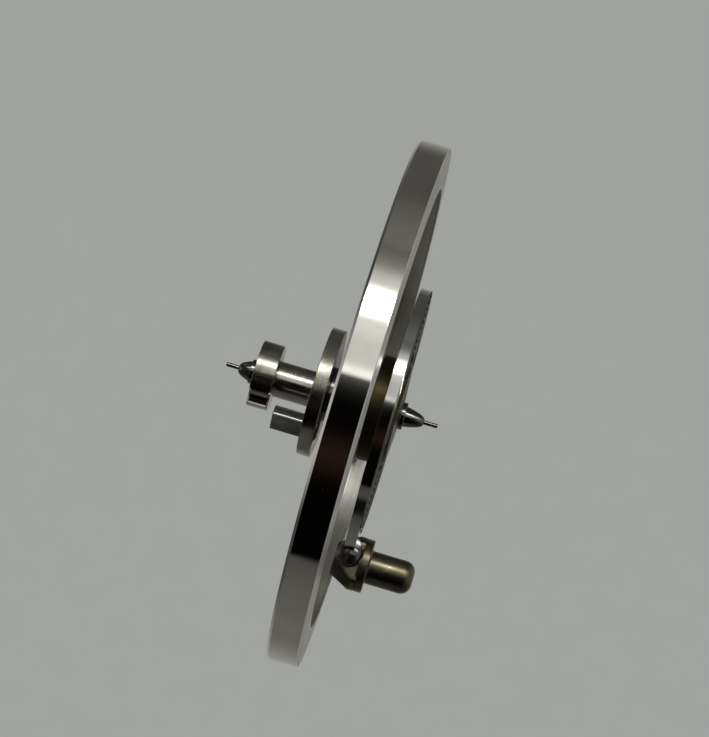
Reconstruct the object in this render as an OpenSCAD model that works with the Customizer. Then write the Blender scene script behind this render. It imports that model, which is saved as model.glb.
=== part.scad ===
// Balance wheel with hairspring of a mechanical watch, in millimetres.
// The staff lies along the Y axis, with the hairspring towards +Y. The origin is on the staff,
// halfway through the arms. Angles run from +X towards -Z, so they read anticlockwise when the
// wheel is looked at from the hairspring side.

/* [Balance wheel] */
// Outer diameter of the rim
wheel_d = 10; // [9:0.1:13]
// Thickness of the rim's outer band, along the staff
rim_t = 0.58; // [0.4:0.02:0.8]
// Width of the rim, from its outer to its inner edge
rim_w = 0.77; // [0.5:0.01:1.1]
// How far the hairspring face rises from the rim's outer to its inner edge
rim_rise = 0.04; // [0.02:0.01:0.2]
// Chamfer on the roller side of the rim
rim_chamfer = 0.05; // [0.02:0.01:0.1]
// Number of arms
arm_count = 3; // [2:1:5]
// Width of an arm
arm_w = 0.62; // [0.4:0.01:0.9]
// Thickness of the arms and of the ring at the middle
arm_t = 0.20; // [0.12:0.01:0.3]
// Fillet where an arm meets the rim and the middle ring
arm_fillet = 0.22; // [0.1:0.01:0.3]
// Diameter of the ring at the middle
ring_d = 2.0; // [1.8:0.05:2.6]

/* [Balance staff] */
// Diameter of both pivots
pivot_d = 0.08; // [0.06:0.01:0.14]
// Length of the pivot on the roller side
lower_pivot_h = 0.24; // [0.15:0.01:0.35]
// Length of the pivot on the hairspring side
upper_pivot_h = 0.26; // [0.15:0.01:0.35]
// Diameter of both cones at their wide ends
cone_d = 0.39; // [0.28:0.01:0.4]
// Length of the cone on the roller side
lower_cone_h = 0.23; // [0.15:0.01:0.4]
// Length of the cone on the hairspring side
upper_cone_h = 0.37; // [0.2:0.01:0.5]
// Diameter of the seat of the safety roller
safety_seat_d = 0.46; // [0.42:0.01:0.5]
// How far that seat shows below the safety roller
seat_end_h = 0.10; // [0.05:0.01:0.15]
// Diameter of the seat of the impulse roller
impulse_seat_d = 0.56; // [0.52:0.01:0.7]
// Diameter of the hub that the arms rest on
hub_d = 1.04; // [1:0.01:1.06]
// Height of the hub
hub_h = 0.51; // [0.3:0.01:0.6]
// Diameter of the seat of the balance wheel
wheel_seat_d = 0.84; // [0.7:0.01:0.9]
// Diameter of the rivet that holds the arms on the hub
rivet_d = 1.0; // [0.94:0.01:1.1]
// Height of the rivet
rivet_h = 0.05; // [0.03:0.01:0.1]
// Diameter of the seat of the collet
collet_seat_d = 0.56; // [0.52:0.01:0.66]
// Diameter of the shoulder beyond the collet
shoulder_d = 0.52; // [0.42:0.01:0.54]
// Height of that shoulder
shoulder_h = 0.08; // [0.04:0.01:0.2]

/* [Rollers] */
// Diameter of the impulse roller
impulse_d = 2.44; // [2.36:0.01:2.8]
// Thickness of the impulse roller
impulse_t = 0.26; // [0.2:0.005:0.4]
// Diameter of the safety roller
safety_d = 1.25; // [1.1:0.01:1.3]
// Thickness of the safety roller
safety_t = 0.40; // [0.3:0.01:0.5]
// Diameter of the tube between the two rollers
tube_d = 0.68; // [0.56:0.01:0.7]
// Length of the tube between the two rollers
tube_h = 0.75; // [0.64:0.005:0.9]
// Radius of the passing hollow in the safety roller
hollow_r = 0.22; // [0.15:0.01:0.24]
// Depth of the passing hollow
hollow_depth = 0.13; // [0.08:0.01:0.16]

/* [Impulse jewel] */
// Diameter of the jewel's round side
jewel_d = 0.45; // [0.4:0.01:0.58]
// Metal left between the jewel's round side and the impulse roller's edge
jewel_wall = 0.05; // [0.02:0.01:0.08]
// Direction of the jewel
jewel_angle = 46.7; // [0:0.1:359]
// How much of the jewel's outer side is ground away
jewel_flat = 0.10; // [0.05:0.01:0.16]
// How far the jewel stands out below the impulse roller
jewel_h = 0.575; // [0.45:0.005:0.6]
// Space round the drop of shellac, to the hub and to the impulse roller's edge
shellac_gap = 0.03; // [0.02:0.01:0.06]
// Height of the drop of shellac
shellac_h = 0.06; // [0.04:0.01:0.1]

/* [Collet] */
// Diameter of the collet
collet_d = 2.0; // [1.7:0.01:2.2]
// Height of the collet
collet_h = 0.59; // [0.46:0.01:0.7]
// Height of the collet above the arms
collet_lift = 0.10; // [0.1:0.01:0.4]
// Chamfer on the collet's upper edge
collet_chamfer = 0.07; // [0.03:0.01:0.1]
// How far the collet's upper face rises towards the staff
collet_rise = 0.04; // [0.01:0.01:0.06]
// Width of the slit that lets the collet grip the staff
slit_w = 0.10; // [0.06:0.01:0.15]
// Room round the strip's corners in the cross hole that it shares with its pin
pin_hole_room = 0.014; // [0.01:0.001:0.03]
// Metal left outside the cross hole
pin_hole_wall = 0.085; // [0.05:0.005:0.12]
// How far the pin stands out of the collet
pin_proud = 0.05; // [0:0.01:0.06]

/* [Hairspring] */
// Number of turns between the collet and the stud
spring_turns = 10.25; // [8:0.25:11]
// Thickness of the strip
strip_t = 0.03; // [0.02:0.002:0.036]
// Width of the strip, along the staff
strip_w = 0.20; // [0.14:0.01:0.2]
// Depth of the strip's middle below the collet's top
strip_drop = 0.19; // [0.18:0.01:0.26]
// Space between the collet and the first turn
first_gap = 0.14; // [0.12:0.01:0.2]
// Radius of the outermost turn, where it starts to bend out to the stud
coil_r = 2.41; // [2.2:0.01:2.45]

/* [Stud] */
// Distance from the staff to the middle of the stud
stud_r = 2.87; // [2.85:0.01:3.2]
// Direction of the stud
stud_angle = 80.9; // [0:0.1:359]
// How far inside the stud's middle the strip is held
strip_inset = 0.10; // [0.04:0.01:0.12]
// How far the stud's foot reaches below the strip's middle
foot_drop = 0.23; // [0.2:0.005:0.27]
// Diameter of the foot's lower end
toe_d = 0.62; // [0.56:0.01:0.8]
// Diameter of the foot
foot_d = 1.01; // [0.94:0.01:1.1]
// Height of the foot's tapered end
taper_h = 0.38; // [0.2:0.01:0.42]
// Height of the whole foot, up to the flange
foot_h = 0.50; // [0.48:0.005:0.6]
// Distance across the foot's two flats
foot_flats = 0.70; // [0.62:0.01:0.8]
// Diameter of the flange
flange_d = 1.00; // [0.9:0.01:1.1]
// Height of the flange
flange_h = 0.15; // [0.08:0.01:0.2]
// Diameter of the stem that the stud carrier grips
stem_d = 0.62; // [0.5:0.01:0.7]
// Length of the stem
stem_h = 0.85; // [0.6:0.01:1]
// Rounding of the stem's end
stem_round = 0.20; // [0.06:0.01:0.24]
// Cement above and below the strip, in the foot's hole
cement_round = 0.07; // [0.05:0.005:0.08]
// How far the hole's middle lies above the strip's middle
cement_lift = 0.04; // [0:0.005:0.04]
// How far the drop of cement on the foot reaches past the hole's edge
cement_lap = 0.08; // [0.03:0.01:0.08]
// How far that drop stands out of the foot
cement_drop_h = 0.17; // [0.1:0.01:0.2]

/* [Fits] */
// Clearance round a piece that is pressed or fixed into another
fit_gap = 0.003; // [0.002:0.001:0.005]

/* [Hidden] */
$fn = 96;
// Room that a cut takes beyond the face it starts from
cut = 0.1;
// How full the walls of the cones are: 1 is straight, and less than 1 rounds them outwards
cone_curve = 0.45;

// Levels along the staff, from the roller side up
impulse_top = -arm_t / 2 - hub_h;
impulse_bottom = impulse_top - impulse_t;
safety_top = impulse_bottom - tube_h;
safety_bottom = safety_top - safety_t;
seat_end = safety_bottom - seat_end_h;
lower_pivot_base = seat_end - lower_cone_h;
rivet_top = arm_t / 2 + rivet_h;
collet_bottom = arm_t / 2 + collet_lift;
collet_top = collet_bottom + collet_h;
shoulder_top = collet_top + shoulder_h;
upper_pivot_base = shoulder_top + upper_cone_h;
strip_mid = collet_top - strip_drop;
stud_bottom = strip_mid - foot_drop;
cement_mid = strip_mid + cement_lift;

// Places and sizes that follow from those of the piece that carries them
jewel_r = impulse_d / 2 - jewel_wall - jewel_d / 2;
shellac_r = min(jewel_r - hub_d / 2, impulse_d / 2 - jewel_r) - shellac_gap;
pin_hole_r = norm([strip_w, strip_t]) / 2 + pin_hole_room;
pin_hole_offset = collet_d / 2 - pin_hole_wall - pin_hole_r;
cement_hole_r = strip_w / 2 + cement_round;

// Radii of the wheel
rim_ro = wheel_d / 2;
rim_ri = rim_ro - rim_w;

// Path of the strip: it leaves the cross hole along a straight line, bends into the coil and, at
// the end of the last turn, bends out to the stud. Angles count from the middle of the cross hole.
turn_steps = 36;
strip_step = 360 / turn_steps;
stud_sweep = 360 * spring_turns;
hole_angle = stud_angle - stud_sweep;
bend_sweep = 42;
held_sweep = 6;
line_sweep = 70;
strip_start = -34;
strip_end = stud_sweep + held_sweep;
first_r = collet_d / 2 + first_gap;
held_r = stud_r - strip_inset;
pitch = (coil_r - first_r) / (spring_turns - bend_sweep / 360);
corner_soft = 0.03;
path_steps = ceil((strip_end - strip_start) / strip_step);

function clamp01(x) = max(0, min(1, x));
function smooth(x) = let (c = clamp01(x)) c * c * (3 - 2 * c);
// The smaller of two lengths, with the corner between them rounded
function soft_min(a, b) = (a + b) / 2 - sqrt(pow((a - b) / 2, 2) + pow(corner_soft, 2));
function line_r(t) = t < line_sweep ? pin_hole_offset / cos(t) : 10 * coil_r;
function spiral_r(t) = first_r + pitch * t / 360;
function coil_part(t) = soft_min(line_r(t), spiral_r(t));
function bend_part(t) = smooth((t - stud_sweep + bend_sweep) / (bend_sweep - held_sweep));
function strip_r(t) = coil_part(t) + (held_r - coil_part(t)) * bend_part(t);
function strip_point(t, side) =
    let (e = 0.5,
        here = strip_r(t) * [cos(t), sin(t)],
        ahead = strip_r(t + e) * [cos(t + e), sin(t + e)],
        behind = strip_r(t - e) * [cos(t - e), sin(t - e)],
        run = (ahead - behind) / norm(ahead - behind))
    here + side * strip_t / 2 * [run[1], -run[0]];
strip_angles = [for (i = [0:path_steps]) strip_start + (strip_end - strip_start) * i / path_steps];
strip_outer = [for (t = strip_angles) strip_point(t, 1)];
strip_inner = [for (t = strip_angles) strip_point(t, -1)];

// The least gap from the outside of one turn to the inside of the next
least_gap = min([for (i = [0:path_steps - turn_steps - 3])
    min([for (k = [-3:3]) norm(strip_outer[i] - strip_inner[i + turn_steps + k])])]);
echo(hairspring_turns = spring_turns, hairspring_pitch = pitch, least_gap_to_itself = least_gap);

// Turns a shape drawn on the XY plane so that its Z axis lies along the staff
module on_staff(level = 0) {
    rotate([-90, 0, 0]) translate([0, 0, level]) children();
}

module disc(d, from, to) {
    translate([0, 0, from]) cylinder(d = d, h = to - from);
}

// Plan of the jewel, with the middle of its round side at the origin and its flat towards +X
module jewel_plan(grow = 0) {
    intersection() {
        circle(d = jewel_d + 2 * grow);
        translate([-jewel_d, -jewel_d]) square([1.5 * jewel_d - jewel_flat + grow, 2 * jewel_d]);
    }
}

module at_jewel() {
    rotate(jewel_angle) translate([jewel_r, 0]) children();
}

// The corner between an arm's side and a circle of radius r, filled by a concave fillet.
// way is -1 inside that circle, for the rim, and 1 outside it, for the middle ring.
module arm_corner(r, way) {
    middle_x = arm_w / 2 + arm_fillet;
    middle_y = sqrt(pow(r + way * arm_fillet, 2) - pow(middle_x, 2));
    middle = [middle_x, middle_y];
    on_circle = middle * r / norm(middle);
    corner_y = sqrt(pow(r, 2) - pow(arm_w / 2, 2));
    difference() {
        polygon([middle, [arm_w / 2, middle_y], [arm_w / 2 - cut, corner_y - way * cut / 2],
            on_circle * (1 - way * cut / r / 2)]);
        translate(middle) circle(arm_fillet);
    }
}

module arm_plan() {
    translate([-arm_w / 2, 0]) square([arm_w, rim_ri + rim_w / 2]);
    for (side = [0, 1]) mirror([side, 0]) {
        arm_corner(rim_ri, -1);
        arm_corner(ring_d / 2, 1);
    }
}

module balance_wheel() {
    color("silver") on_staff() difference() {
        union() {
            rotate_extrude() polygon([
                [rim_ri, -rim_t / 2],
                [rim_ro - rim_chamfer, -rim_t / 2],
                [rim_ro, rim_chamfer - rim_t / 2],
                [rim_ro, rim_t / 2],
                [rim_ri, rim_t / 2 + rim_rise]]);
            translate([0, 0, -arm_t / 2]) linear_extrude(arm_t) {
                circle(d = ring_d);
                for (i = [0:arm_count - 1]) rotate(360 / arm_count * i + stud_angle) arm_plan();
            }
        }
        disc(wheel_seat_d + 2 * fit_gap, -arm_t, arm_t);
    }
}

// Profile of a rounded cone that narrows over height h to the pivot.
// way is 1 where it narrows upwards and -1 where it narrows downwards.
function cone_profile(from, h, way) = [for (i = [0:8])
    [pivot_d / 2 + (cone_d - pivot_d) / 2 * pow(1 - i / 8, cone_curve), from + way * h * i / 8]];
function reversed(list) = [for (i = [len(list) - 1:-1:0]) list[i]];

module balance_staff() {
    tip = pivot_d / 5;
    lower_end = lower_pivot_base - lower_pivot_h;
    upper_end = upper_pivot_base + upper_pivot_h;
    color("gainsboro") on_staff() rotate_extrude() polygon(concat(
        [[0, lower_end], [pivot_d / 2 - tip, lower_end], [pivot_d / 2, lower_end + tip]],
        reversed(cone_profile(seat_end, lower_cone_h, -1)),
        [[safety_seat_d / 2, seat_end],
            [safety_seat_d / 2, impulse_bottom],
            [impulse_seat_d / 2, impulse_bottom],
            [impulse_seat_d / 2, impulse_top],
            [hub_d / 2, impulse_top],
            [hub_d / 2, -arm_t / 2],
            [wheel_seat_d / 2, -arm_t / 2],
            [wheel_seat_d / 2, arm_t / 2],
            [rivet_d / 2, arm_t / 2],
            [collet_seat_d / 2 + rivet_h, rivet_top],
            [collet_seat_d / 2, rivet_top],
            [collet_seat_d / 2, collet_top],
            [shoulder_d / 2, collet_top],
            [shoulder_d / 2, shoulder_top]],
        cone_profile(shoulder_top, upper_cone_h, 1),
        [[pivot_d / 2, upper_end - tip], [pivot_d / 2 - tip, upper_end], [0, upper_end]]));
}

module impulse_roller() {
    color("lightgray") on_staff() difference() {
        disc(impulse_d, impulse_bottom, impulse_top);
        disc(impulse_seat_d + 2 * fit_gap, impulse_bottom - cut, impulse_top + cut);
        translate([0, 0, impulse_bottom - cut]) linear_extrude(impulse_t + 2 * cut)
            at_jewel() jewel_plan(fit_gap);
    }
}

module safety_roller() {
    color("darkgray") on_staff() difference() {
        union() {
            disc(tube_d, safety_top - cut, impulse_bottom);
            disc(safety_d, safety_bottom, safety_top);
        }
        disc(safety_seat_d + 2 * fit_gap, safety_bottom - cut, impulse_bottom + cut);
        rotate(jewel_angle) translate([safety_d / 2 - hollow_depth + hollow_r, 0])
            disc(2 * hollow_r, safety_bottom - cut, safety_top + cut);
    }
}

module impulse_jewel() {
    color("slategray") on_staff(impulse_bottom - jewel_h) linear_extrude(jewel_h + impulse_t)
        at_jewel() jewel_plan();
}

// A low round drop of radius r and height h, on the XY plane
module drop(r, h) {
    ball_r = (r * r + h * h) / (2 * h);
    reach = acos(1 - h / ball_r);
    rotate_extrude() polygon(concat([[0, 0]],
        [for (i = [6:-1:0]) [ball_r * sin(reach * i / 6), h - ball_r * (1 - cos(reach * i / 6))]]));
}

module jewel_shellac() {
    color("saddlebrown") on_staff(impulse_top) at_jewel()
        drop(shellac_r, shellac_h);
}

// Lies along the cross hole of the collet, with X away from the staff
module at_cross_hole() {
    rotate(hole_angle) translate([pin_hole_offset, 0, strip_mid]) rotate([-90, 0, 0]) children();
}

module hairspring_collet() {
    bore_r = collet_seat_d / 2 + fit_gap;
    edge = collet_top - collet_rise;
    color("goldenrod") on_staff() difference() {
        rotate_extrude() polygon([
            [bore_r, collet_bottom],
            [collet_d / 2, collet_bottom],
            [collet_d / 2, edge - collet_chamfer],
            [collet_d / 2 - collet_chamfer, edge],
            [bore_r, collet_top]]);
        at_cross_hole() cylinder(r = pin_hole_r, h = 2 * collet_d, center = true);
        rotate(hole_angle + 180) translate([0, -slit_w / 2, collet_bottom - cut])
            cube([collet_d, slit_w, collet_h + 2 * cut]);
    }
}

module collet_pin() {
    flat = strip_t / 2 + fit_gap;
    far_end = sqrt(pow(collet_d / 2, 2) - pow(pin_hole_offset + pin_hole_r, 2));
    color("gold") on_staff() at_cross_hole() intersection() {
        translate([0, 0, -far_end - 2 * pin_hole_r - pin_proud])
            cylinder(r = pin_hole_r - fit_gap, h = 2 * far_end + 2 * pin_hole_r + pin_proud);
        translate([flat, -pin_hole_r, -collet_d]) cube([pin_hole_r, 2 * pin_hole_r, 2 * collet_d]);
    }
}

module hairspring() {
    color("steelblue") on_staff(strip_mid - strip_w / 2) rotate(hole_angle)
        linear_extrude(strip_w) polygon(concat(strip_outer, reversed(strip_inner)));
}

// Lies along the stud's stem, with X away from the staff and the strip running towards +Y
module at_stud(level = 0) {
    rotate(stud_angle) translate([stud_r, 0, level]) children();
}

// Lies along the hole in the stud's foot, with Z towards the side where the strip comes in
module at_cement() {
    at_stud(cement_mid) translate([-strip_inset, 0, 0]) rotate([90, 0, 0]) children();
}

module hairspring_stud() {
    stem_top = foot_h + flange_h + stem_h;
    color("gold") on_staff() difference() {
        at_stud(stud_bottom) rotate_extrude() polygon(concat(
            [[0, 0], [toe_d / 2, 0], [foot_d / 2, taper_h], [foot_d / 2, foot_h],
                [flange_d / 2, foot_h], [flange_d / 2, foot_h + flange_h],
                [stem_d / 2, foot_h + flange_h]],
            [for (a = [0:15:90]) [stem_d / 2 - stem_round * (1 - cos(a)),
                stem_top - stem_round * (1 - sin(a))]],
            [[0, stem_top]]));
        for (side = [0, 180]) at_stud(stud_bottom) rotate(side)
            translate([-foot_d, foot_flats / 2, -cut]) cube([2 * foot_d, foot_d, foot_h + cut]);
        at_cement() cylinder(r = cement_hole_r, h = 2 * foot_d, center = true);
    }
}

module stud_cement() {
    color("sienna") on_staff() at_cement() {
        cylinder(r = cement_hole_r - fit_gap, h = foot_flats + fit_gap, center = true);
        translate([0, 0, foot_flats / 2]) drop(cement_hole_r + cement_lap, cement_drop_h);
    }
}

balance_wheel();
balance_staff();
impulse_roller();
safety_roller();
impulse_jewel();
jewel_shellac();
hairspring_collet();
collet_pin();
hairspring();
hairspring_stud();
stud_cement();
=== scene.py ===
import math

import bmesh
import bpy
from mathutils import Matrix, Vector


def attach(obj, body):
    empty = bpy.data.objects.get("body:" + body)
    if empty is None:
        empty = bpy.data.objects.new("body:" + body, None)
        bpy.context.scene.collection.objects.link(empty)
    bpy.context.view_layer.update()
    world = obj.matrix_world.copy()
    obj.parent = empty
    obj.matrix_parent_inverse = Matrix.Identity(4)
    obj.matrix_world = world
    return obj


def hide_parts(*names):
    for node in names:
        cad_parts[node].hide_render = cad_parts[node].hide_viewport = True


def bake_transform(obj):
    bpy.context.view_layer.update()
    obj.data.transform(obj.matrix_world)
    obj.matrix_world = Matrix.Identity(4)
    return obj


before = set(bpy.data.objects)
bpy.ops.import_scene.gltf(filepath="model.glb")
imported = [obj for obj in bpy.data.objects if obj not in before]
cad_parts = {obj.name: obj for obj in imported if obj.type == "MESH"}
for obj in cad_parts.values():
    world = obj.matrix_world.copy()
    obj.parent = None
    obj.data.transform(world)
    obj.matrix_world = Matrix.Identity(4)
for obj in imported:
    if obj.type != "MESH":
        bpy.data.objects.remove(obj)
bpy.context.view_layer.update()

# Pieces are built in millimetres and scaled to metres when they are done. As in the part's source,
# the staff lies along Y, angles run from +X towards -Z, and levels are heights along Y.
MM = 0.001

# Balance wheel
RIM_R = 5.0
RIM_INNER_R = 4.23
RIM_BOTTOM = -0.29
RIM_TOP = 0.29
RIM_INNER_TOP = 0.33
RIM_CHAMFER = 0.05
ARM_COUNT = 3
ARM_W = 0.62
ARM_T = 0.20
ARM_FILLET = 0.22
ARM_ROOT = 0.12
ARM_EASE = 0.022
RING_R = 1.0
WHEEL_BORE_R = 0.423

# Staff
PIVOT_R = 0.04
PIVOT_EASE = 0.016
CONE_R = 0.195
CONE_CURVE = 0.45
LOWER_END = -2.59
LOWER_PIVOT_BASE = -2.35
SEAT_END = -2.12
SAFETY_SEAT_R = 0.23
IMPULSE_BOTTOM = -0.87
IMPULSE_TOP = -0.61
IMPULSE_SEAT_R = 0.28
HUB_R = 0.52
WHEEL_SEAT_R = 0.42
RIVET_R = 0.50
RIVET_TOP = 0.15
RIVET_LIP = 0.05
COLLET_SEAT_R = 0.28
SHOULDER_R = 0.26
SHOULDER_TOP = 0.87
UPPER_PIVOT_BASE = 1.24
UPPER_END = 1.50

# Rollers and jewel
SAFETY_BOTTOM = -2.02
SAFETY_TOP = -1.62
SAFETY_R = 0.625
TUBE_R = 0.34
HOLLOW_R = 0.22
HOLLOW_DEPTH = 0.13
HOLLOW_FLARE = 0.03
IMPULSE_R = 1.22
JEWEL_ANGLE = 46.7
JEWEL_PLACE_R = 0.945
JEWEL_R = 0.225
JEWEL_FLAT = 0.125
JEWEL_CORNER = 0.02
JEWEL_EASE = 0.02
JEWEL_END = -1.445
SHELLAC_R = 0.245
SHELLAC_H = 0.06
SHELLAC_WAVES = 0.10

# Collet, hairspring and pin
COLLET_BOTTOM = 0.20
COLLET_TOP = 0.79
COLLET_R = 1.0
COLLET_EDGE = 0.75
COLLET_CHAMFER = 0.07
SLIT_W = 0.10
SPRING_TURNS = 10.25
STRIP_T = 0.03
STRIP_W = 0.20
STRIP_MID = 0.60
STRIP_EASE = 0.006
FIRST_R = 1.14
COIL_R = 2.41
HELD_R = 2.77
PIN_HOLE_R = 0.1151
PIN_HOLE_OFFSET = 0.80
PIN_PROUD = 0.05
BEND_SWEEP = 42
HELD_SWEEP = 6
LINE_SWEEP = 70
STRIP_START = -34
CORNER_SOFT = 0.03

# Stud and cement
STUD_R = 2.87
STUD_ANGLE = 80.9
STUD_BOTTOM = 0.37
TOE_R = 0.31
FOOT_R = 0.505
TAPER_TOP = 0.75
FOOT_TOP = 0.87
FOOT_HALF = 0.35
FOOT_EASE = 0.02
FOOT_CORNER = 0.01
FLANGE_R = 0.50
FLANGE_TOP = 1.02
STEM_R = 0.31
STEM_TOP = 1.87
STEM_ROUND = 0.20
CEMENT_INSET = 0.10
CEMENT_MID = 0.64
CEMENT_HOLE_R = 0.17
CEMENT_DROP_R = 0.25
CEMENT_DROP_H = 0.17
CEMENT_WAVES = 0.05

# Collar of cement round the spring, where it enters the drop
COLLAR_R = 0.155
COLLAR_FRONT = 0.02
COLLAR_BACK = 0.10
COLLAR_TURN = 11.5
COLLAR_ALONG = -0.19
COLLAR_OUT = 0.12

# Clearance of one piece in another, how far a cutter runs past what it cuts, and how far a plug runs
# into the drop that is joined to it
FIT = 0.003
PAST = 0.2
OVERLAP = 0.01

STUD_SWEEP = 360 * SPRING_TURNS
HOLE_ANGLE = STUD_ANGLE - STUD_SWEEP
PITCH = (COIL_R - FIRST_R) / (SPRING_TURNS - BEND_SWEEP / 360)

# Shading: the angle in degrees from which an edge is sharp, how much large faces count for, and the
# difference in area that counts
SHARP_FROM = 38
LARGE_FACES = 80
AREA_STEP = 0.0001

# Patterns on the surfaces, in waves to the metre
SMUDGE_SCALE = 1300
DENT_SCALE = 420
LONG_HAIRS = (900, 26000, 9000)
CROSS_HAIRS = (22000, 1100, 7000)

# How much hairlines count beside the rest, and levels beside radii in the turning lines
HAIR_SHARE = 0.25
LEVEL_SHARE = 1.37

# Studio light: its borders in degrees above the line to the camera, round the staff, and its tones
PANEL_BOTTOM = 8.6
PANEL_TOP = 55.2
FLOOR_BORDER = -68.5
BACKDROP = 0.34
PANEL_TINT = (1.0, 0.99, 0.93)
WARM_TINT = (1.0, 0.55, 0.4)

# Floor, in metres
FLOOR_LEVEL = -0.125
FLOOR_FLAT = 0.14
FLOOR_BEND = 0.20
WALL_STEP = 0.03

# Camera: its distance in millimetres, its angles in degrees, and the photograph's measures in pixels
CAMERA_MM = 51.0
CAMERA_TILT = 2.45
CAMERA_ROLL = 16.5
PX_PER_MM = 53.9
PHOTO_WIDE = 709
PHOTO_HIGH = 737
ORIGIN_PX = (360.0, 403.5)


def clamp01(x):
    return max(0.0, min(1.0, x))


def smooth(x):
    c = clamp01(x)
    return c * c * (3 - 2 * c)


def hump(x, middle, reach):
    """A smooth hump, 1 high at middle, that fades over reach to both sides."""
    return math.exp(-((x - middle) / reach) ** 2)


def link_mesh(name, points, faces):
    mesh = bpy.data.meshes.new(name)
    mesh.from_pydata(points, [], faces)
    made = bpy.data.objects.new(name, mesh)
    bpy.context.scene.collection.objects.link(made)
    return made


def new_piece(name, points, faces):
    """A closed body with its faces turned outwards."""
    piece = link_mesh(name, points, faces)
    work = bmesh.new()
    work.from_mesh(piece.data)
    bmesh.ops.recalc_face_normals(work, faces=work.faces)
    work.to_mesh(piece.data)
    work.free()
    return piece


def bake_modifiers(piece):
    bpy.context.view_layer.update()
    seen = piece.evaluated_get(bpy.context.evaluated_depsgraph_get())
    mesh = bpy.data.meshes.new_from_object(seen)
    mesh.name = piece.name
    piece.modifiers.clear()
    piece.data = mesh


def combine(piece, tool, operation="DIFFERENCE"):
    """Cuts tool out of piece, or joins it on, and removes tool."""
    step = piece.modifiers.new("combine", "BOOLEAN")
    step.operation = operation
    step.solver = "EXACT"
    step.object = tool
    bake_modifiers(piece)
    bpy.data.objects.remove(tool)


def turned(piece, angle, move=(0, 0, 0)):
    """Moves piece, then turns it about the staff by angle degrees, from +X towards -Z."""
    spin = Matrix.Rotation(math.radians(angle), 4, "Y")
    piece.data.transform(spin @ Matrix.Translation(Vector(move)))
    return piece


def eased(corners, closed=True, steps=5):
    """Profile through (radius, level, ease) corners, each corner rounded by an arc of radius ease."""
    points = []
    count = len(corners)
    for i, (r, level, ease) in enumerate(corners):
        here = Vector((r, level))
        if ease <= 0 or (not closed and i in (0, count - 1)):
            points.append(here)
            continue
        back = (Vector(corners[i - 1][:2]) - here).normalized()
        on = (Vector(corners[(i + 1) % count][:2]) - here).normalized()
        half = back.angle(on) / 2
        middle = here + (back + on).normalized() * ease / math.sin(half)
        start = here + back * ease / math.tan(half) - middle
        sweep = start.angle_signed(here + on * ease / math.tan(half) - middle)
        for k in range(steps + 1):
            arm = start.copy()
            arm.rotate(Matrix.Rotation(-sweep * k / steps, 2))
            points.append(middle + arm)
    return [(p[0], p[1]) for p in points]


def lathe(name, profile, closed=True, steps=256):
    """A body turned about Y. An open profile starts and ends on the axis."""
    on_axis = 1e-9
    points, faces, rings = [], [], []
    for r, level in profile:
        if r < on_axis:
            rings.append([len(points)])
            points.append((0, level, 0))
            continue
        rings.append(list(range(len(points), len(points) + steps)))
        for k in range(steps):
            a = 2 * math.pi * k / steps
            points.append((r * math.cos(a), level, -r * math.sin(a)))
    pairs = list(zip(rings, rings[1:]))
    if closed:
        pairs.append((rings[-1], rings[0]))
    for lower, upper in pairs:
        for k in range(steps):
            n = (k + 1) % steps
            if len(lower) == 1:
                faces.append((lower[0], upper[n], upper[k]))
            elif len(upper) == 1:
                faces.append((lower[k], lower[n], upper[0]))
            else:
                faces.append((lower[k], lower[n], upper[n], upper[k]))
    return new_piece(name, points, faces)


def loft(name, layers):
    """A body through closed loops of equally many points, with its two ends capped."""
    points = [p for layer in layers for p in layer]
    count = len(layers[0])
    faces = []
    for i in range(len(layers) - 1):
        for k in range(count):
            n = (k + 1) % count
            faces.append((i * count + k, i * count + n, (i + 1) * count + n, (i + 1) * count + k))
    faces.append(tuple(range(count)))
    faces.append(tuple(range(len(points) - count, len(points))))
    return new_piece(name, points, faces)


def new_box(name, low, high):
    x0, y0, z0 = low
    x1, y1, z1 = high
    loop = [(x0, y0), (x1, y0), (x1, y1), (x0, y1)]
    return loft(name, [[(x, y, z) for x, y in loop] for z in (z0, z1)])


def inset(outline, by):
    """A closed outline moved inwards by a short way, as seen anticlockwise."""
    moved = []
    count = len(outline)
    for i in range(count):
        before = Vector(outline[i - 1])
        after = Vector(outline[(i + 1) % count])
        run = (after - before).normalized()
        moved.append((outline[i][0] - run[1] * by, outline[i][1] + run[0] * by))
    return moved


def eased_prism(name, outline, bottom, top, ease, steps=3):
    """A prism along Y over an outline in (x, across), with its rims rounded by ease."""
    lower = [(bottom + ease * (1 - math.cos(math.pi / 2 * k / steps)),
              ease * (1 - math.sin(math.pi / 2 * k / steps))) for k in range(steps + 1)]
    upper = [(bottom + top - level, by) for level, by in reversed(lower)]
    rings = []
    for level, by in lower + upper:
        rings.append([(x, level, -v) for x, v in inset(outline, by)])
    return loft(name, rings)


def arc(middle, r, start, end, steps):
    """Points on a circle from angle start to end, in degrees."""
    made = []
    for k in range(steps + 1):
        a = math.radians(start + (end - start) * k / steps)
        made.append((middle[0] + r * math.cos(a), middle[1] + r * math.sin(a)))
    return made


def finish_piece(name, piece, body, slot, material, *nodes):
    """Evens the shading, scales to metres, and makes piece stand for its nodes."""
    piece.name = name
    mesh = piece.data
    mesh.shade_smooth()
    mesh.set_sharp_from_angle(angle=math.radians(SHARP_FROM))
    # Faces are weighed by their area in the piece's own units, so this comes before the scaling.
    even = piece.modifiers.new("even", "WEIGHTED_NORMAL")
    even.keep_sharp = True
    even.weight = LARGE_FACES
    even.thresh = AREA_STEP
    bake_modifiers(piece)
    piece.data.transform(Matrix.Scale(MM, 4))
    piece.data.name = name
    piece.data.materials.clear()
    piece.data.materials.append(material)
    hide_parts(*nodes)
    if body:
        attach(piece, body)
    return piece


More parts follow.
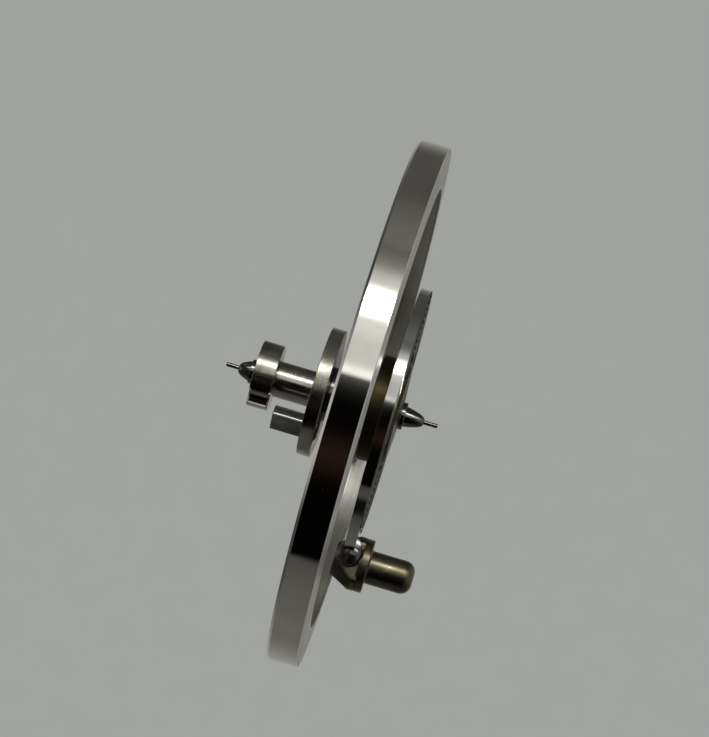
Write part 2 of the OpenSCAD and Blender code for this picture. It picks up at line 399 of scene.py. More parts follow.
class Nodes:
    """Short ways to wire a material."""

    def __init__(self, name):
        self.material = bpy.data.materials.new(name)
        self.material.use_nodes = True
        self.tree = self.material.node_tree
        self.shader = self.tree.nodes["Principled BSDF"]
        place = self.add("ShaderNodeTexCoord")
        self.place = place.outputs["Object"]

    def add(self, kind, **settings):
        made = self.tree.nodes.new(kind)
        for key, value in settings.items():
            setattr(made, key, value)
        return made

    def link(self, start, end):
        self.tree.links.new(start, end)

    def stretch(self, scale, turn=(0, 0, 0)):
        step = self.add("ShaderNodeMapping")
        step.inputs["Scale"].default_value = scale
        step.inputs["Rotation"].default_value = turn
        self.link(self.place, step.inputs["Vector"])
        return step.outputs["Vector"]

    def noise(self, vector, scale, detail=2.0, rough=0.5, distortion=0.0):
        step = self.add("ShaderNodeTexNoise")
        step.inputs["Scale"].default_value = scale
        step.inputs["Detail"].default_value = detail
        step.inputs["Roughness"].default_value = rough
        step.inputs["Distortion"].default_value = distortion
        self.link(vector, step.inputs["Vector"])
        return step.outputs["Fac"]

    def math(self, operation, a, b=None):
        step = self.add("ShaderNodeMath", operation=operation)
        for socket, value in zip(step.inputs, (a, b)):
            if value is None:
                continue
            if isinstance(value, (int, float)):
                socket.default_value = value
            else:
                self.link(value, socket)
        return step.outputs["Value"]

    def span(self, value, low, high, to_low, to_high):
        step = self.add("ShaderNodeMapRange")
        for key, number in (("From Min", low), ("From Max", high), ("To Min", to_low), ("To Max", to_high)):
            step.inputs[key].default_value = number
        self.link(value, step.inputs["Value"])
        return step.outputs["Result"]

    def blend(self, share, dark, light):
        step = self.add("ShaderNodeMix", data_type="RGBA")
        colours = [s for s in step.inputs if s.type == "RGBA"]
        for socket, value in zip(colours, (dark, light)):
            socket.default_value = (*value, 1)
        self.link(share, step.inputs["Factor"])
        return next(s for s in step.outputs if s.type == "RGBA")

    def bump(self, height, strength, distance, before=None):
        step = self.add("ShaderNodeBump")
        step.inputs["Strength"].default_value = strength
        step.inputs["Distance"].default_value = distance
        self.link(height, step.inputs["Height"])
        if before is not None:
            self.link(before, step.inputs["Normal"])
        return step.outputs["Normal"]

    def turned_lines(self, scale):
        """Fine lines round the staff, on faces and walls alike."""
        flat = self.add("ShaderNodeVectorMath", operation="MULTIPLY")
        flat.inputs[1].default_value = (1, 0, 1)
        self.link(self.place, flat.inputs[0])
        out = self.add("ShaderNodeVectorMath", operation="LENGTH")
        self.link(flat.outputs["Vector"], out.inputs[0])
        split = self.add("ShaderNodeSeparateXYZ")
        self.link(self.place, split.inputs[0])
        along = self.math("MULTIPLY", split.outputs["Y"], LEVEL_SHARE)
        both = self.math("ADD", out.outputs["Value"], along)
        step = self.add("ShaderNodeTexNoise", noise_dimensions="1D")
        step.inputs["Scale"].default_value = scale
        step.inputs["Detail"].default_value = 3.0
        self.link(both, step.inputs["W"])
        return step.outputs["Fac"]


def metal(name, dark, light, rough, spread, lines, line_bump, dent_bump, smudges=1.0, grain=0.2):
    """Worked metal: turning lines, hairlines, faint smudges and a slightly uneven surface."""
    n = Nodes(name)
    smudge = n.noise(n.place, SMUDGE_SCALE, detail=4.0, rough=0.6)
    hair_a = n.noise(n.stretch(LONG_HAIRS, (0.3, 0.9, 0.2)), 1.0, detail=1.0)
    hair_b = n.noise(n.stretch(CROSS_HAIRS, (1.1, 0.2, 0.7)), 1.0, detail=1.0)
    hairs = n.math("MAXIMUM", n.span(hair_a, 0.66, 0.72, 0, 1), n.span(hair_b, 0.67, 0.73, 0, 1))
    grooves = n.turned_lines(lines)
    dents = n.noise(n.place, DENT_SCALE)
    level = n.math("ADD", n.span(smudge, 0.35, 0.7, rough, rough + spread),
                   n.math("MULTIPLY", hairs, HAIR_SHARE * spread))
    n.link(level, n.shader.inputs["Roughness"])
    tone = n.math("MULTIPLY", n.span(smudge, 0.3, 0.75, 1.0, 1.0 - smudges),
                  n.span(grooves, 0.2, 0.7, 1.0 - grain, 1.0))
    n.link(n.blend(tone, dark, light), n.shader.inputs["Base Color"])
    height = n.bump(dents, 1.0, dent_bump)
    height = n.bump(grooves, 1.0, line_bump, height)
    height = n.bump(hairs, HAIR_SHARE, line_bump, height)
    n.link(height, n.shader.inputs["Normal"])
    n.shader.inputs["Metallic"].default_value = 1.0
    return n.material


def resin(name, dark, light, rough, scale, bump, coat, gloss):
    """A glossy drop of cement or shellac, cloudy inside."""
    finer = 6
    rougher = 0.08
    n = Nodes(name)
    cloud = n.noise(n.place, scale, detail=4.0, rough=0.55, distortion=0.6)
    n.link(n.blend(n.span(cloud, 0.3, 0.7, 0, 1), dark, light), n.shader.inputs["Base Color"])
    fine = n.noise(n.place, scale * finer, detail=3.0)
    n.link(n.span(fine, 0.3, 0.7, rough, rough + rougher), n.shader.inputs["Roughness"])
    n.link(n.bump(fine, 1.0, bump), n.shader.inputs["Normal"])
    n.shader.inputs["IOR"].default_value = gloss
    n.shader.inputs["Coat Weight"].default_value = coat
    n.shader.inputs["Coat Roughness"].default_value = 0.08
    return n.material


def stone(name, dark, light):
    """A ground and polished jewel that the light passes through."""
    n = Nodes(name)
    cloud = n.noise(n.place, 3000, detail=3.0)
    n.link(n.blend(n.span(cloud, 0.3, 0.7, 0, 1), dark, light), n.shader.inputs["Base Color"])
    marks = n.noise(n.stretch((1500, 30000, 1500)), 1.0)
    n.link(n.span(marks, 0.3, 0.7, 0.02, 0.07), n.shader.inputs["Roughness"])
    n.link(n.bump(marks, 1.0, 3e-7), n.shader.inputs["Normal"])
    n.shader.inputs["IOR"].default_value = 1.77
    n.shader.inputs["Transmission Weight"].default_value = 0.60
    return n.material


WHEEL_METAL = metal("wheel_metal", (0.70, 0.68, 0.63), (0.80, 0.79, 0.75),
                    rough=0.035, spread=0.05, lines=52000, line_bump=1.2e-8, dent_bump=1.2e-6)
WHEEL_FACES = metal("wheel_faces", (0.22, 0.21, 0.195), (0.62, 0.61, 0.575),
                    rough=0.30, spread=0.12, lines=17000, line_bump=2.4e-7, dent_bump=6e-7,
                    smudges=0.35, grain=0.75)
STAFF_STEEL = metal("staff_steel", (0.07, 0.07, 0.063), (0.25, 0.24, 0.23),
                    rough=0.09, spread=0.12, lines=60000, line_bump=6e-8, dent_bump=8e-7)
ROLLER_STEEL = metal("roller_steel", (0.13, 0.125, 0.095), (0.60, 0.59, 0.55),
                     rough=0.13, spread=0.18, lines=50000, line_bump=9e-8, dent_bump=3.0e-6)
COLLET_BRASS = metal("collet_brass", (0.022, 0.018, 0.008), (0.072, 0.060, 0.028),
                     rough=0.32, spread=0.16, lines=42000, line_bump=1.2e-7, dent_bump=1e-6)
SPRING_METAL = metal("spring_metal", (0.48, 0.48, 0.46), (0.66, 0.66, 0.64),
                     rough=0.05, spread=0.08, lines=60000, line_bump=2e-8, dent_bump=4e-7)
# A much darker copy of the spring metal for the strip's narrow top and bottom faces: painted shade on the
# same alloy as the sides. It is also rougher.
SPRING_SHADED_EDGES = metal("spring_edges_painted_shade", (0.03, 0.03, 0.028), (0.10, 0.10, 0.095),
                     rough=0.56, spread=0.12, lines=60000, line_bump=6e-8, dent_bump=4e-7)
STUD_BRASS = metal("stud_brass", (0.050, 0.044, 0.021), (0.200, 0.186, 0.130),
                   rough=0.25, spread=0.14, lines=38000, line_bump=9e-8, dent_bump=2.0e-6)
STUD_CEMENT = resin("stud_cement_resin", (0.008, 0.005, 0.002), (0.026, 0.015, 0.006),
                    rough=0.11, scale=5000, bump=4e-7, coat=0.0, gloss=1.85)
SHELLAC = resin("shellac_resin", (0.030, 0.012, 0.004), (0.085, 0.038, 0.013),
                rough=0.10, scale=6000, bump=6e-7, coat=0.3, gloss=1.54)
JEWEL = stone("jewel_stone", (0.035, 0.034, 0.032), (0.15, 0.145, 0.14))


def arms_outline():
    """Outline of the arms and of the ring round the bore, as (x, across)."""
    half = ARM_W / 2
    middle_x = half + ARM_FILLET
    ring_y = math.sqrt((RING_R + ARM_FILLET) ** 2 - middle_x ** 2)
    rim_y = math.sqrt((RIM_INNER_R - ARM_FILLET) ** 2 - middle_x ** 2)
    ring_angle = math.degrees(math.atan2(ring_y, middle_x))
    rim_angle = math.degrees(math.atan2(rim_y, middle_x))
    in_rim = RIM_INNER_R + ARM_ROOT
    root = math.radians(rim_angle)
    right = arc((middle_x, ring_y), ARM_FILLET, ring_angle + 180, 180, 12)
    right += [(half, ring_y + (rim_y - ring_y) * k / 8) for k in range(1, 8)]
    right += arc((middle_x, rim_y), ARM_FILLET, 180, rim_angle, 14)
    right.append((in_rim * math.cos(root), in_rim * math.sin(root)))
    left = [(-x, y) for x, y in reversed(right)]
    end = arc((0, 0), in_rim, rim_angle, 180 - rim_angle, 12)[1:-1]
    share = 360 / ARM_COUNT
    gap = arc((0, 0), RING_R, 180 - ring_angle, ring_angle + share, 24)[1:-1]
    outline = []
    for i in range(ARM_COUNT):
        turn = math.radians(STUD_ANGLE + share * i)
        for x, y in right + end + left + gap:
            outline.append((x * math.cos(turn) - y * math.sin(turn), x * math.sin(turn) + y * math.cos(turn)))
    return outline


def make_wheel():
    rim = lathe("balance_wheel_visual", eased([
        (RIM_INNER_R, RIM_BOTTOM, 0.015),
        (RIM_R - RIM_CHAMFER, RIM_BOTTOM, 0.006),
        (RIM_R, RIM_BOTTOM + RIM_CHAMFER, 0.006),
        (RIM_R, RIM_TOP, 0.014),
        (RIM_INNER_R, RIM_INNER_TOP, 0.008)]), steps=720)
    plate = eased_prism("plate", arms_outline(), -ARM_T / 2, ARM_T / 2, ARM_EASE)
    bore = lathe("bore", [(0, -1), (WHEEL_BORE_R, -1), (WHEEL_BORE_R, 1), (0, 1)], closed=False, steps=128)
    combine(plate, bore)
    combine(rim, plate, "UNION")
    wheel = finish_piece("balance_wheel_visual", rim, "balance", "polished_wheel", WHEEL_METAL,
                         "balance_wheel")
    # The rim's outside and its chamfer are polished, and everything inside them is turned.
    wheel.data.materials.append(WHEEL_FACES)
    margin = 0.01
    mirror_from = (RIM_R - RIM_CHAMFER - margin) * MM
    for face in wheel.data.polygons:
        if math.hypot(face.center[0], face.center[2]) < mirror_from:
            face.material_index = 1


def cone_points(start, end):
    """Points of a rounded cone from level start to the pivot's radius at level end."""
    steps = 20
    return [(PIVOT_R + (CONE_R - PIVOT_R) * (1 - i / steps) ** CONE_CURVE, start + (end - start) * i / steps)
            for i in range(steps + 1)]


def make_staff():
    lower = eased([
        (0, LOWER_END, 0),
        (PIVOT_R, LOWER_END, PIVOT_EASE),
        (PIVOT_R, LOWER_PIVOT_BASE, 0)], closed=False)
    body = eased([
        (CONE_R, SEAT_END, 0),
        (SAFETY_SEAT_R, SEAT_END, 0.012),
        (SAFETY_SEAT_R, IMPULSE_BOTTOM, 0.004),
        (IMPULSE_SEAT_R, IMPULSE_BOTTOM, 0.006),
        (IMPULSE_SEAT_R, IMPULSE_TOP, 0.006),
        (HUB_R, IMPULSE_TOP, 0.02),
        (HUB_R, -ARM_T / 2, 0.015),
        (WHEEL_SEAT_R, -ARM_T / 2, 0.004),
        (WHEEL_SEAT_R, ARM_T / 2, 0.004),
        (RIVET_R, ARM_T / 2, 0.008),
        (COLLET_SEAT_R + RIVET_LIP, RIVET_TOP, 0.012),
        (COLLET_SEAT_R, RIVET_TOP, 0.01),
        (COLLET_SEAT_R, COLLET_TOP, 0.01),
        (SHOULDER_R, COLLET_TOP, 0.008),
        (SHOULDER_R, SHOULDER_TOP, 0.015),
        (CONE_R, SHOULDER_TOP, 0)], closed=False)
    upper = eased([
        (PIVOT_R, UPPER_PIVOT_BASE, 0),
        (PIVOT_R, UPPER_END, PIVOT_EASE),
        (0, UPPER_END, 0)], closed=False)
    cone_down = list(reversed(cone_points(SEAT_END, LOWER_PIVOT_BASE)))
    cone_up = cone_points(SHOULDER_TOP, UPPER_PIVOT_BASE)
    profile = lower + cone_down[1:] + body[1:] + cone_up[1:] + upper[1:]
    staff = lathe("balance_staff_visual", profile, closed=False, steps=128)
    finish_piece("balance_staff_visual", staff, "balance", "polished_steel", STAFF_STEEL, "balance_staff")


def jewel_outline(grow):
    """Plan of the jewel round its own middle, with the flat towards +X and its two corners eased."""
    r = JEWEL_R + grow
    middle_x = JEWEL_FLAT + grow - JEWEL_CORNER
    middle_y = math.sqrt((r - JEWEL_CORNER) ** 2 - middle_x ** 2)
    tip = math.degrees(math.atan2(middle_y, middle_x))
    points = arc((middle_x, -middle_y), JEWEL_CORNER, -tip, 0, 4)
    points += arc((middle_x, middle_y), JEWEL_CORNER, 0, tip, 4)
    points += arc((0, 0), r, tip, 360 - tip, 56)[1:-1]
    return points


def place_jewel(piece):
    return turned(piece, JEWEL_ANGLE, (JEWEL_PLACE_R, 0, 0))


def make_impulse_roller():
    disc = lathe("impulse_roller_visual", eased([
        (IMPULSE_SEAT_R + FIT, IMPULSE_BOTTOM, 0.012),
        (IMPULSE_R, IMPULSE_BOTTOM, 0.014),
        (IMPULSE_R, IMPULSE_TOP, 0.014),
        (IMPULSE_SEAT_R + FIT, IMPULSE_TOP, 0.012)]))
    hole = eased_prism("hole", jewel_outline(FIT), IMPULSE_BOTTOM - PAST, IMPULSE_TOP + PAST, 0.01)
    combine(disc, place_jewel(hole))
    finish_piece("impulse_roller_visual", disc, "balance", "roller_steel", ROLLER_STEEL, "impulse_roller")


def make_safety_roller():
    small = lathe("safety_roller_visual", eased([
        (SAFETY_SEAT_R + FIT, SAFETY_BOTTOM, 0.012),
        (SAFETY_R, SAFETY_BOTTOM, 0.014),
        (SAFETY_R, SAFETY_TOP, 0.014),
        (TUBE_R, SAFETY_TOP, 0.015),
        (TUBE_R, IMPULSE_BOTTOM, 0.006),
        (SAFETY_SEAT_R + FIT, IMPULSE_BOTTOM, 0.006)]))
    # The crescent hollow is cut by a spool, whose slanted ends ease the hollow's two rims.
    beyond = 0.1
    spool = lathe("spool", [
        (0, SAFETY_BOTTOM - beyond),
        (HOLLOW_R + HOLLOW_FLARE + beyond, SAFETY_BOTTOM - beyond),
        (HOLLOW_R, SAFETY_BOTTOM + HOLLOW_FLARE),
        (HOLLOW_R, SAFETY_TOP - HOLLOW_FLARE),
        (HOLLOW_R + HOLLOW_FLARE + beyond, SAFETY_TOP + beyond),
        (0, SAFETY_TOP + beyond)], closed=False, steps=96)
    turned(spool, JEWEL_ANGLE, (SAFETY_R - HOLLOW_DEPTH + HOLLOW_R, 0, 0))
    combine(small, spool)
    finish_piece("safety_roller_visual", small, "balance", "roller_steel", ROLLER_STEEL, "safety_roller")


def make_jewel():
    pin = eased_prism("impulse_jewel_visual", jewel_outline(0), JEWEL_END, IMPULSE_TOP, JEWEL_EASE, 4)
    place_jewel(pin)
    finish_piece("impulse_jewel_visual", pin, "balance", "jewel_stone", JEWEL, "impulse_jewel")


def drop(name, r, h, foot, waves):
    """A round drop standing on the XZ plane towards +Y, with an edge that runs a little unevenly."""
    steps, rings = 96, 22
    points, faces = [], []
    for i in range(rings):
        t = i / rings
        level = h * (1 - (1 - t) ** 2)
        for k in range(steps):
            a = 2 * math.pi * k / steps
            edge = 1 - 0.5 * waves + 0.5 * waves * math.cos(3 * a + 0.7) * math.cos(2 * a - 0.4)
            reach = r * edge * math.sin(math.pi / 2 * (1 - t))
            points.append((reach * math.cos(a), level + foot, reach * math.sin(a)))
    points.append((0, h + foot, 0))
    for i in range(rings - 1):
        for k in range(steps):
            n = (k + 1) % steps
            faces.append((i * steps + k, i * steps + n, (i + 1) * steps + n, (i + 1) * steps + k))
    top = (rings - 1) * steps
    for k in range(steps):
        faces.append((top + k, top + (k + 1) % steps, len(points) - 1))
    faces.append(tuple(range(steps)))
    return new_piece(name, points, faces)


def make_shellac():
    piece = drop("jewel_shellac_visual", SHELLAC_R, SHELLAC_H, IMPULSE_TOP, SHELLAC_WAVES)
    place_jewel(piece)
    finish_piece("jewel_shellac_visual", piece, "balance", "shellac", SHELLAC, "jewel_shellac")


def cross_hole_bar(name, outline, start, end):
    """A bar along the collet's cross hole, over an outline in (away from the staff, along the staff)."""
    layers = []
    for t in (start, end):
        layers.append([(PIN_HOLE_OFFSET + x, STRIP_MID + y, -t) for x, y in outline])
    return turned(loft(name, layers), HOLE_ANGLE)


def make_collet():
    collet = lathe("hairspring_collet_visual", eased([
        (COLLET_SEAT_R + FIT, COLLET_BOTTOM, 0.015),
        (COLLET_R, COLLET_BOTTOM, 0.025),
        (COLLET_R, COLLET_EDGE - COLLET_CHAMFER, 0.02),
        (COLLET_R - COLLET_CHAMFER, COLLET_EDGE, 0.02),
        (COLLET_SEAT_R + FIT, COLLET_TOP, 0.015)]))
    steps = 48
    circle = arc((0, 0), PIN_HOLE_R, 0, 360 - 360 / steps, steps - 1)
    combine(collet, cross_hole_bar("hole", circle, -2 * COLLET_R, 2 * COLLET_R))
    slit_low = (0, COLLET_BOTTOM - PAST, -SLIT_W / 2)
    slit_high = (2 * COLLET_R, COLLET_TOP + PAST, SLIT_W / 2)
    combine(collet, turned(new_box("slit", slit_low, slit_high), HOLE_ANGLE + 180))
    finish_piece("hairspring_collet_visual", collet, "balance", "collet_brass", COLLET_BRASS,
                 "hairspring_collet")


def make_collet_pin():
    """The pin, cut flat where the strip runs beside it in the cross hole."""
    flat = STRIP_T / 2 + FIT
    r = PIN_HOLE_R - FIT
    tip = math.degrees(math.acos(flat / r))
    far_end = math.sqrt(COLLET_R ** 2 - (PIN_HOLE_OFFSET + PIN_HOLE_R) ** 2)
    outline = arc((0, 0), r, -tip, tip, 24)
    pin = cross_hole_bar("collet_pin_visual", outline, -far_end, far_end + 2 * PIN_HOLE_R + PIN_PROUD)
    finish_piece("collet_pin_visual", pin, "balance", "collet_brass", COLLET_BRASS, "collet_pin")


def coil_part(t):
    """The coil's radius: the lesser of the cross hole's line and the spiral, joined by a soft corner."""
    no_line = 10 * COIL_R
    line = PIN_HOLE_OFFSET / math.cos(math.radians(t)) if t < LINE_SWEEP else no_line
    spiral = FIRST_R + PITCH * t / 360
    return (line + spiral) / 2 - math.sqrt(((line - spiral) / 2) ** 2 + CORNER_SOFT ** 2)


def strip_middle(t):
    """Middle of the strip at t degrees from the cross hole, as (x, across)."""
    inner = coil_part(t)
    out = smooth((t - STUD_SWEEP + BEND_SWEEP) / (BEND_SWEEP - HELD_SWEEP))
    r = inner + (HELD_R - inner) * out
    a = math.radians(t + HOLE_ANGLE)
    return Vector((r * math.cos(a), r * math.sin(a)))


def make_hairspring():
    """A strip along strip_middle. How far each of its points follows the balance is worked out, but it is not
    stored in the mesh.
    """
    per_turn = 144
    near = 0.4
    shade_edges_from = 0.5
    end = STUD_SWEEP + HELD_SWEEP
    count = int((end - STRIP_START) / 360 * per_turn)
    half_t, half_w = STRIP_T / 2, STRIP_W / 2
    section = []
    for side_x, side_y, start in ((1, 1, 0), (-1, 1, 90), (-1, -1, 180), (1, -1, 270)):
        corner = (side_x * (half_t - STRIP_EASE), side_y * (half_w - STRIP_EASE))
        section += arc(corner, STRIP_EASE, start, start + 90, 2)
    layers, along = [], []
    for i in range(count + 1):
        t = STRIP_START + (end - STRIP_START) * i / count
        here = strip_middle(t)
        run = (strip_middle(t + near) - strip_middle(t - near)).normalized()
        out = Vector((run[1], -run[0]))
        layers.append([(here[0] + out[0] * x, STRIP_MID + y, -(here[1] + out[1] * x)) for x, y in section])
        along += [clamp01(1 - t / STUD_SWEEP)] * len(section)
    spring = loft("hairspring_visual", layers)
    finish_piece("hairspring_visual", spring, None, "spring_alloy", SPRING_METAL, "hairspring")
    # The faces that look along the staff get the darker copy, which paints shade on the strip's edges.
    spring.data.materials.append(SPRING_SHADED_EDGES)
    for face in spring.data.polygons:
        if abs(face.normal[1]) > shade_edges_from:
            face.material_index = 1
    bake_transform(spring)


def foot_loop(r, level):
    """The foot's outline at one level: a circle of radius r cut by its two flats, with soft corners."""
    steps = 192
    loop = []
    for k in range(steps):
        a = 2 * math.pi * (k + 0.5) / steps
        across = abs(r * math.sin(a))
        held = (across + FOOT_HALF) / 2 - math.sqrt(((across - FOOT_HALF) / 2) ** 2 + FOOT_CORNER ** 2)
        loop.append((r * math.cos(a), level, -math.copysign(held, math.sin(a))))
    return loop


def make_foot():
    """The stud's foot: an eased toe, a taper, a straight stretch and an eased rim."""
    steps = 4
    quarter = [math.pi / 2 * k / steps for k in range(steps + 1)]
    slope = (FOOT_R - TOE_R) / (TAPER_TOP - STUD_BOTTOM)
    taper_start = STUD_BOTTOM + FOOT_EASE
    layers = []
    for a in quarter:
        r = TOE_R + slope * FOOT_EASE - FOOT_EASE * (1 - math.sin(a))
        layers.append(foot_loop(r, STUD_BOTTOM + FOOT_EASE * (1 - math.cos(a))))
    for k in range(1, 2 * steps + 1):
        level = taper_start + (TAPER_TOP - STUD_BOTTOM - FOOT_EASE) * k / (2 * steps)
        layers.append(foot_loop(TOE_R + slope * (level - STUD_BOTTOM), level))
    for k in range(1, steps + 1):
        layers.append(foot_loop(FOOT_R, TAPER_TOP + (FOOT_TOP - FOOT_EASE - TAPER_TOP) * k / steps))
    for a in quarter[1:]:
        r = FOOT_R - FOOT_EASE * (1 - math.cos(a))
        layers.append(foot_loop(r, FOOT_TOP - FOOT_EASE + FOOT_EASE * math.sin(a)))
    return loft("foot", layers)


def lay_across(piece):
    """Lays a body turned about Y along the hole through the stud's foot."""
    piece.data.transform(Matrix.Rotation(math.pi / 2, 4, "X"))
    piece.data.transform(Matrix.Translation((-CEMENT_INSET, CEMENT_MID, 0)))
    return piece


def make_stud():
    sunk_r = FLANGE_R - 0.06
    sunk_level = FOOT_TOP - 0.03
    lap_level = FOOT_TOP - 0.001
    top = eased([
        (0, sunk_level, 0),
        (sunk_r, sunk_level, 0),
        (sunk_r, lap_level, 0),
        (FLANGE_R, lap_level, 0.02),
        (FLANGE_R, FLANGE_TOP, 0.025),
        (STEM_R, FLANGE_TOP, 0.03),
        (STEM_R, STEM_TOP, STEM_ROUND),
        (0, STEM_TOP, 0)], closed=False, steps=8)
    stud = lathe("hairspring_stud_visual", top, closed=False, steps=128)
    combine(stud, make_foot(), "UNION")
    hole = lathe("hole", [(0, -1), (CEMENT_HOLE_R, -1), (CEMENT_HOLE_R, 1), (0, 1)], closed=False, steps=96)
    combine(stud, lay_across(hole))
    turned(stud, STUD_ANGLE, (STUD_R, 0, 0))
    finish_piece("hairspring_stud_visual", stud, "stud", "gilt_brass", STUD_BRASS, "hairspring_stud")


def make_collar():
    """A flat bead of cement, thicker towards the stud, round the place where the strip enters the drop."""
    quarter = 12
    profile = []
    for k in range(-quarter, quarter + 1):
        a = math.radians(90 * k / quarter)
        thick = COLLAR_FRONT if k > 0 else COLLAR_BACK
        profile.append((COLLAR_R * math.cos(a), thick * math.sin(a)))
    collar = lathe("collar", profile, closed=False, steps=96)
    collar.data.transform(Matrix.Rotation(math.radians(COLLAR_TURN), 4, "Z"))
    collar.data.transform(Matrix.Translation((COLLAR_ALONG, FOOT_HALF + COLLAR_OUT, 0)))
    return collar


def make_cement():
    plug = lathe("stud_cement_visual", eased([
        (0, -FOOT_HALF - FIT, 0),
        (CEMENT_HOLE_R - FIT, -FOOT_HALF - FIT, 0.02),
        (CEMENT_HOLE_R - FIT, FOOT_HALF + OVERLAP, 0),
        (0, FOOT_HALF + OVERLAP, 0)], closed=False), closed=False, steps=96)
    combine(plug, drop("bead", CEMENT_DROP_R, CEMENT_DROP_H, FOOT_HALF, CEMENT_WAVES), "UNION")
    combine(plug, make_collar(), "UNION")
    turned(lay_across(plug), STUD_ANGLE, (STUD_R, 0, 0))
    finish_piece("stud_cement_visual", plug, "stud", "cement", STUD_CEMENT, "stud_cement")


def ring_light(up):
    """Light at up degrees above the line to the camera, round the staff."""
    if up > PANEL_BOTTOM:
        near_wall = 0.095 * smooth((105 - up) / 40)
        beam = 0.04 * hump(up, 66, 3)
        ceiling = 0.082 + near_wall - beam
        ceiling += (BACKDROP - ceiling) * smooth((up - 135) / 35)
        low_edge = 0.50 * hump(up, 11.5, 2.4)
        middle = 0.12 * hump(up, 30, 4)
        lamp = 16.0 * hump(up, 41.2, 3.7)
        panel = 0.74 + low_edge + middle + lamp
        panel_share = 1 / (1 + math.exp(min(60, (up - PANEL_TOP) / 2.0)))
        lit = smooth((up - PANEL_BOTTOM) / 2.2)
        return (ceiling + (panel - ceiling) * panel_share) * lit + 0.03 * (1 - lit)
    if up > FLOOR_BORDER:
        return 0.0008 + 0.085 * math.exp((up - PANEL_BOTTOM) / 2.6)
    floor = 0.075 * smooth((FLOOR_BORDER - up) / 3.5)
    far_floor = 0.095 * (1 - math.exp((up - FLOOR_BORDER) / 35))
    behind = (BACKDROP - 0.16) * smooth((-120 - up) / 50)
    return floor + far_floor + behind


def end_light(y, rise, side):
    """Light towards the staff's two ends, by its rise above the level."""
    if y < 0:
        bounce = 0.46 * hump(rise, -5, 20) * smooth((side - 60) / 16)
        window = 0.30 * smooth((rise - 25) / 40)
        return 0.06 + bounce + window
    return 0.08 + 0.40 * smooth((rise + 40) / 40)


def glow(direction):
    """Light of the studio in one direction, as the metal mirrors it."""
    x, y, z = direction
    up = math.degrees(math.atan2(z, x))
    rise = math.degrees(math.asin(max(-1, min(1, z))))
    side = abs(math.degrees(math.asin(max(-1, min(1, y)))))
    level = ring_light(up)
    warm = 0.018 * hump(up, -23, 8)
    ring = [level * t + warm * w for t, w in zip(PANEL_TINT, WARM_TINT)]
    end = end_light(y, rise, side)
    share = smooth((side - 24) / 26)
    return [p * (1 - share) + end * share for p in ring]


def tone_light(mesh):
    """A material that shines in the colours stored in the mesh as tone."""
    material = bpy.data.materials.new("studio_light")
    material.use_nodes = True
    tree = material.node_tree
    tree.nodes.clear()
    reader = tree.nodes.new("ShaderNodeAttribute")
    reader.attribute_name = "tone"
    light = tree.nodes.new("ShaderNodeEmission")
    out = tree.nodes.new("ShaderNodeOutputMaterial")
    tree.links.new(reader.outputs["Color"], light.inputs["Color"])
    tree.links.new(light.outputs["Emission"], out.inputs["Surface"])
    material.cycles.emission_sampling = "NONE"
    mesh.materials.append(material)


def make_tent():
    """The studio as the metal mirrors it. It is hidden from the camera and from diffuse light."""
    columns, rows, r = 720, 120, 0.115
    # The first and last rings stay off the poles, and each is closed by one flat face.
    last_lat = 1.5533
    points, colours, faces = [], [], []
    for j in range(rows + 1):
        lat = math.radians(-90 + 180 * j / rows)
        lat = max(-last_lat, min(last_lat, lat))
        for i in range(columns):
            a = 2 * math.pi * i / columns
            d = (math.cos(lat) * math.cos(a), math.sin(lat), math.cos(lat) * math.sin(a))
            points.append([r * c for c in d])
            colours.append(glow(d))
    for j in range(rows):
        for i in range(columns):
            n = (i + 1) % columns
            faces.append((j * columns + i, j * columns + n, (j + 1) * columns + n, (j + 1) * columns + i))
    faces.append(tuple(range(columns)))
    faces.append(tuple(range(rows * columns, (rows + 1) * columns)))
    tent = link_mesh("studio_tent", points, faces)
    tone = tent.data.color_attributes.new("tone", "FLOAT_COLOR", "POINT")
    tone.data.foreach_set("color", [v for c in colours for v in (*c, 1.0)])
    tone_light(tent.data)
    tent.visible_camera = False
    tent.visible_diffuse = False
    tent.visible_shadow = False
    tent.visible_volume_scatter = False


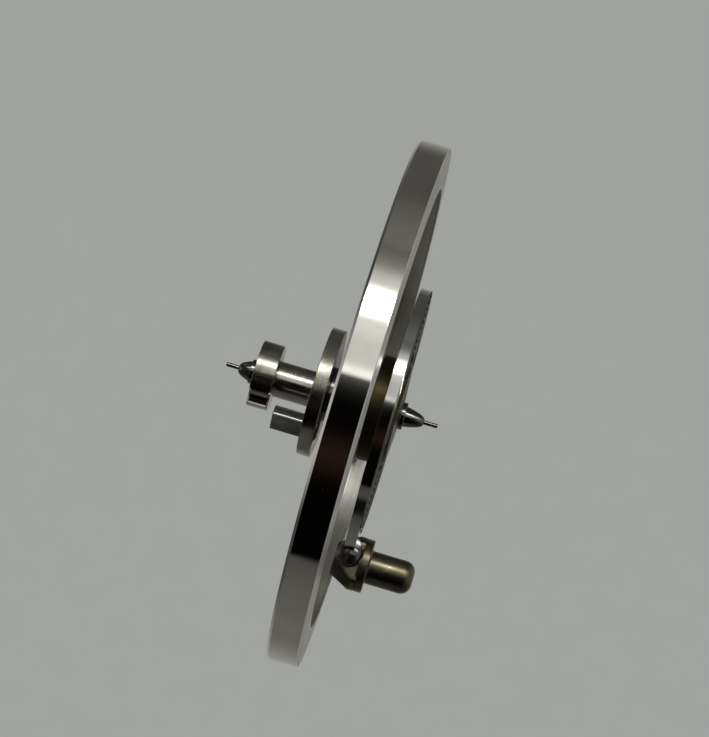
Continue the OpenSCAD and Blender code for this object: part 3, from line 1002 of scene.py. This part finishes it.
def make_floor():
    """A pale floor that curves up into the backdrop all round."""
    wall_r = FLOOR_FLAT + FLOOR_BEND
    wall_level = FLOOR_LEVEL + FLOOR_BEND
    profile = [(0.0, FLOOR_LEVEL)]
    profile += [(FLOOR_FLAT * k / 7, FLOOR_LEVEL) for k in range(1, 8)]
    for k in range(1, 33):
        a = math.radians(90 * k / 32)
        rise = FLOOR_BEND * (1 - math.cos(a))
        profile.append((FLOOR_FLAT + FLOOR_BEND * math.sin(a), FLOOR_LEVEL + rise))
    profile += [(wall_r, wall_level + WALL_STEP * k) for k in range(1, 10)]
    steps = 128
    points, faces = [(0, 0, FLOOR_LEVEL)], []
    for r, z in profile[1:]:
        for k in range(steps):
            a = 2 * math.pi * k / steps
            points.append((r * math.cos(a), r * math.sin(a), z))
    for k in range(steps):
        faces.append((0, 1 + k, 1 + (k + 1) % steps))
    for i in range(len(profile) - 2):
        low, high = 1 + i * steps, 1 + (i + 1) * steps
        for k in range(steps):
            n = (k + 1) % steps
            faces.append((low + k, high + k, high + n, low + n))
    floor = link_mesh("floor", points, faces)
    floor.data.shade_smooth()
    n = Nodes("floor_paper")
    fibres = n.span(n.noise(n.place, 260, detail=3.0), 0.3, 0.7, 0, 1)
    n.link(n.blend(fibres, (0.115, 0.117, 0.114), (0.125, 0.127, 0.124)), n.shader.inputs["Base Color"])
    n.shader.inputs["Roughness"].default_value = 0.9
    n.shader.inputs["Specular IOR Level"].default_value = 0.1
    n.shader.inputs["Emission Color"].default_value = (0.362, 0.371, 0.357, 1)
    n.shader.inputs["Emission Strength"].default_value = 0.80
    floor.data.materials.append(n.material)


def make_light():
    world = bpy.data.worlds.new("room")
    bpy.context.scene.world = world
    world.use_nodes = True
    world.node_tree.nodes["Background"].inputs["Color"].default_value = (1.0, 1.0, 0.98, 1)
    world.node_tree.nodes["Background"].inputs["Strength"].default_value = 1.0
    world.cycles_visibility.glossy = False
    world.cycles_visibility.transmission = False


def make_camera():
    """The photograph's view: from +X, a little to the hairspring's side, and rolled."""
    distance = CAMERA_MM / 1000
    focal_px = PX_PER_MM * CAMERA_MM
    tilt = math.radians(CAMERA_TILT)
    roll = math.radians(CAMERA_ROLL)
    back = Vector((math.cos(tilt), math.sin(tilt), 0))
    along = Vector((-math.sin(tilt), math.cos(tilt), 0))
    up = Vector((0, 0, 1))
    right = along * math.cos(roll) + up * math.sin(roll)
    top = -along * math.sin(roll) + up * math.cos(roll)
    data = bpy.data.cameras.new("camera")
    data.sensor_width = 36
    data.lens = focal_px / PHOTO_HIGH * data.sensor_width
    data.clip_start = 0.001
    data.clip_end = 10
    camera = bpy.data.objects.new("camera", data)
    bpy.context.scene.collection.objects.link(camera)
    place = back * distance
    off = right * (PHOTO_WIDE / 2 - ORIGIN_PX[0]) + top * (ORIGIN_PX[1] - PHOTO_HIGH / 2)
    aim = off * distance / focal_px - place
    toward = -aim.normalized()
    right = (right - toward * right.dot(toward)).normalized()
    top = toward.cross(right)
    camera.matrix_world = Matrix((
        (right[0], top[0], toward[0], place[0]),
        (right[1], top[1], toward[1], place[1]),
        (right[2], top[2], toward[2], place[2]),
        (0, 0, 0, 1)))
    bpy.context.scene.camera = camera


make_camera()
make_light()
make_floor()
make_tent()
make_wheel()
make_staff()
make_impulse_roller()
make_safety_roller()
make_jewel()
make_shellac()
make_collet()
make_collet_pin()
make_hairspring()
make_stud()
make_cement()

bpy.context.scene.view_settings.view_transform = "Standard"
